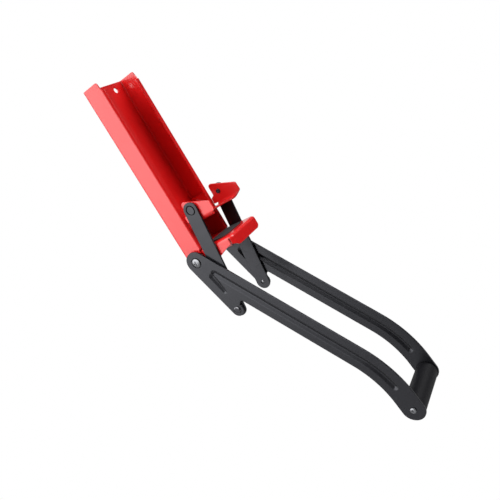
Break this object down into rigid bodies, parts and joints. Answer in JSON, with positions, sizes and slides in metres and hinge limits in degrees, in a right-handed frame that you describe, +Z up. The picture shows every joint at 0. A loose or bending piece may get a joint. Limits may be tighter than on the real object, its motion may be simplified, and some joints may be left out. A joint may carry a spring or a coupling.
{
  "type": "can crusher",
  "caption": "Wall-mounted lever can crusher: open steel channel, sliding ram, fixed shelf and a long two-armed handle with a round grip.",
  "frame": {"origin": "on the wall plane at the back of the channel, in the middle of its width, level with the handle's two pivots", "axes": "+Y into the wall, +Z up along the channel, +X to the right of someone who faces the wall; the pivots run along X"},
  "size_m": [0.089, 0.2001, 0.5409],
  "materials": {
    "red_paint": "gloss",
    "black_paint": "satin",
    "zinc_plate": "satin",
    "dark_steel": "satin",
    "grip_plastic": "satin",
    "rubber": "matte"
  },
  "bodies": {
    "wall_frame": {"channel": "red_paint", "anvil": "red_paint", "anvil_pad": "rubber", "pivot_bolt_left": "zinc_plate", "pivot_nut_left": "zinc_plate", "pivot_washer_left": "zinc_plate", "pivot_bolt_right": "zinc_plate", "pivot_nut_right": "zinc_plate", "pivot_washer_right": "zinc_plate"},
    "handle": {"arm_left": "black_paint", "arm_right": "black_paint", "tab_rivet_left": "dark_steel", "tab_rivet_right": "dark_steel", "grip_core": "zinc_plate", "grip_sleeve": "grip_plastic", "grip_screw_left": "zinc_plate", "grip_screw_right": "zinc_plate"},
    "ram_slide": {"ram": "red_paint", "ram_rivet_left": "dark_steel", "ram_rivet_right": "dark_steel"},
    "left_link": {"link_left": "black_paint", "link_pin_left": "dark_steel"},
    "right_link": {"link_right": "black_paint", "link_pin_right": "dark_steel"}
  },
  "joints": [
    {"name": "handle_pivot", "type": "hinge", "parent": "wall_frame", "child": "handle", "pos_m": [0, -0.0155, 0], "axis": [-1, 0, 0], "range_deg": [0, 139]},
    {"name": "ram_travel", "type": "slide", "parent": "wall_frame", "child": "ram_slide", "axis": [0, 0, 1], "range_m": [0, 0.1498]},
    {"name": "link_pivot_left", "type": "hinge", "parent": "ram_slide", "child": "left_link", "pos_m": [0, -0.0498, 0.0627], "axis": [-1, 0, 0], "range_deg": [0, 8.2]},
    {"name": "link_pivot_right", "type": "hinge", "parent": "ram_slide", "child": "right_link", "pos_m": [0, -0.0498, 0.0627], "axis": [-1, 0, 0], "range_deg": [0, 8.2]}
  ],
  "couplings": [
    {"joint": "ram_travel", "follows": "handle_pivot", "m_per_rad": 0.061747},
    {"joint": "link_pivot_left", "follows": "handle_pivot", "ratio": 0.05897},
    {"joint": "link_pivot_right", "follows": "handle_pivot", "ratio": 0.05897}
  ]
}
